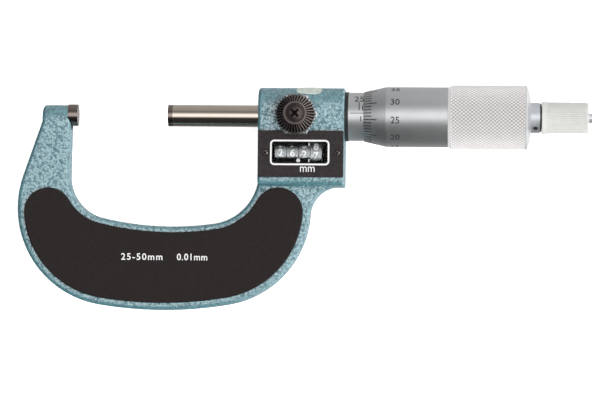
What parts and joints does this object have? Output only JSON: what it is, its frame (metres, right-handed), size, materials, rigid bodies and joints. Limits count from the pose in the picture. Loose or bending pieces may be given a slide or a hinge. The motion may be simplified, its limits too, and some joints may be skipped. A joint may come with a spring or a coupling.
{
  "type": "outside micrometer",
  "caption": "Outside micrometer with a U-shaped frame, digit counter in the head block, graduated sleeve and thimble, knurled grip, ratchet stop and spindle lock knob.",
  "frame": {"origin": "centre of the anvil's measuring face", "axes": "+X along the measuring axis from the anvil to the ratchet, +Y from the frame's bow to the spindle, +Z out of the counter's front"},
  "size_m": [0.1659, 0.0657, 0.0253],
  "materials": {
    "hammertone_paint": "hammertone",
    "heat_plate": "satin",
    "plate_enamel": "satin",
    "tool_steel": "ground and lapped",
    "carbide": "lapped",
    "machined_steel": "turned",
    "black_plastic": "satin",
    "satin_chrome": "satin",
    "nickel": "polished",
    "pale_plastic": "moulded",
    "brass": "machined",
    "black_oxide": "black oxide",
    "cover_enamel": "fine speckled enamel",
    "window": "clear moulded",
    "wheel_plastic": "satin with white numerals",
    "pinion_plastic": "moulded"
  },
  "bodies": {
    "frame": {"frame": "hammertone_paint", "front_heat_plate": "heat_plate", "rear_heat_plate": "heat_plate", "blank_plate": "plate_enamel", "anvil": "tool_steel", "anvil_tip": "carbide", "guide_bush": "tool_steel", "inner_sleeve": "machined_steel", "adjusting_nut": "machined_steel", "sleeve_collar": "black_plastic", "sleeve": "satin_chrome", "lock_bush": "nickel", "counter_cover": "cover_enamel", "counter_window": "window", "counter_mask": "black_plastic", "cover_screws": "black_oxide", "counter_bracket": "machined_steel", "bracket_screws": "machined_steel", "digit_wheel_shaft": "tool_steel", "carrier_plates": "machined_steel", "idler_stud": "tool_steel", "thrust_washer": "brass"},
    "drive_gear": {"drive_gear": "brass", "drive_key": "tool_steel"},
    "spindle": {"spindle": "tool_steel", "spindle_tip": "carbide", "thimble": "satin_chrome", "ratchet_base": "nickel", "ratchet_disc": "black_oxide", "ratchet_screw": "nickel"},
    "ratchet": {"ratchet_cap": "pale_plastic", "ratchet_wheel": "machined_steel", "ratchet_spring": "machined_steel"},
    "lock_plunger": {"lock_plunger": "brass"},
    "lock_knob": {"lock_knob": "black_oxide", "lock_stem": "machined_steel", "lock_knob_screw": "black_oxide"},
    "idler_gear": {"idler_gear": "brass"},
    "tens_wheel": {"tens_wheel": "wheel_plastic"},
    "units_wheel": {"units_wheel": "wheel_plastic"},
    "tenths_wheel": {"tenths_wheel": "wheel_plastic"},
    "hundredths_wheel": {"hundredths_wheel": "wheel_plastic"},
    "tens_transfer_pinion": {"tens_transfer_pinion": "pinion_plastic"},
    "units_transfer_pinion": {"units_transfer_pinion": "pinion_plastic"},
    "tenths_transfer_pinion": {"tenths_transfer_pinion": "pinion_plastic"}
  },
  "joints": [
    {"name": "thimble_turn", "type": "hinge", "parent": "frame", "child": "drive_gear", "pos_m": [0.0725, 0, 0], "axis": [1, 0, 0], "range_deg": [-914.9, 17086.1]},
    {"name": "spindle_feed", "type": "slide", "parent": "drive_gear", "child": "spindle", "axis": [1, 0, 0], "range_m": [-0.00127, 0.02373]},
    {"name": "ratchet_turn", "type": "hinge", "parent": "spindle", "child": "ratchet", "pos_m": [0.141, 0, 0], "axis": [1, 0, 0], "continuous": true},
    {"name": "lock_feed", "type": "slide", "parent": "frame", "child": "lock_plunger", "axis": [0, 0, 1], "range_m": [0, 0.0001166]},
    {"name": "lock_turn", "type": "hinge", "parent": "lock_plunger", "child": "lock_knob", "pos_m": [0.06375, 0, 0.01], "axis": [0, 0, 1], "range_deg": [0, 60]},
    {"name": "idler_turn", "type": "hinge", "parent": "frame", "child": "idler_gear", "pos_m": [0.0725, -0.00894, -0.00106], "axis": [1, 0, 0], "range_deg": [-34171.7, 1829.3]},
    {"name": "hundredths_turn", "type": "hinge", "parent": "frame", "child": "hundredths_wheel", "pos_m": [0.0696, -0.011, 0.0026], "axis": [1, 0, 0], "range_deg": [-4572.5, 85428.5]},
    {"name": "tenths_turn", "type": "hinge", "parent": "frame", "child": "tenths_wheel", "pos_m": [0.0662, -0.011, 0.0026], "axis": [1, 0, 0], "range_deg": [-457.7, 8543.3]},
    {"name": "units_turn", "type": "hinge", "parent": "frame", "child": "units_wheel", "pos_m": [0.0628, -0.011, 0.0026], "axis": [1, 0, 0], "range_deg": [-46.17, 854.73]},
    {"name": "tens_turn", "type": "hinge", "parent": "frame", "child": "tens_wheel", "pos_m": [0.0594, -0.011, 0.0026], "axis": [1, 0, 0], "range_deg": [-4.62, 85.47]},
    {"name": "tenths_transfer_turn", "type": "hinge", "parent": "frame", "child": "tenths_transfer_pinion", "pos_m": [0.0676, -0.011, 0.00008], "axis": [1, 0, 0], "range_deg": [-1524.5, 28476.5]},
    {"name": "units_transfer_turn", "type": "hinge", "parent": "frame", "child": "units_transfer_pinion", "pos_m": [0.0642, -0.011, 0.00008], "axis": [1, 0, 0], "range_deg": [-152.9, 2848.1]},
    {"name": "tens_transfer_turn", "type": "hinge", "parent": "frame", "child": "tens_transfer_pinion", "pos_m": [0.0608, -0.011, 0.00008], "axis": [1, 0, 0], "range_deg": [-15.39, 284.91]}
  ],
  "couplings": [
    {"joint": "thimble_turn", "follows": "spindle_feed", "rad_per_m": 12566},
    {"joint": "lock_turn", "follows": "lock_feed", "rad_per_m": 8976},
    {"joint": "idler_turn", "follows": "spindle_feed", "rad_per_m": -25133},
    {"joint": "hundredths_turn", "follows": "spindle_feed", "rad_per_m": 62832},
    {"joint": "tenths_turn", "follows": "spindle_feed", "rad_per_m": 6283.2},
    {"joint": "units_turn", "follows": "spindle_feed", "rad_per_m": 628.32},
    {"joint": "tens_turn", "follows": "spindle_feed", "rad_per_m": 62.832},
    {"joint": "tenths_transfer_turn", "follows": "spindle_feed", "rad_per_m": 20944},
    {"joint": "units_transfer_turn", "follows": "spindle_feed", "rad_per_m": 2094.4},
    {"joint": "tens_transfer_turn", "follows": "spindle_feed", "rad_per_m": 209.44}
  ]
}
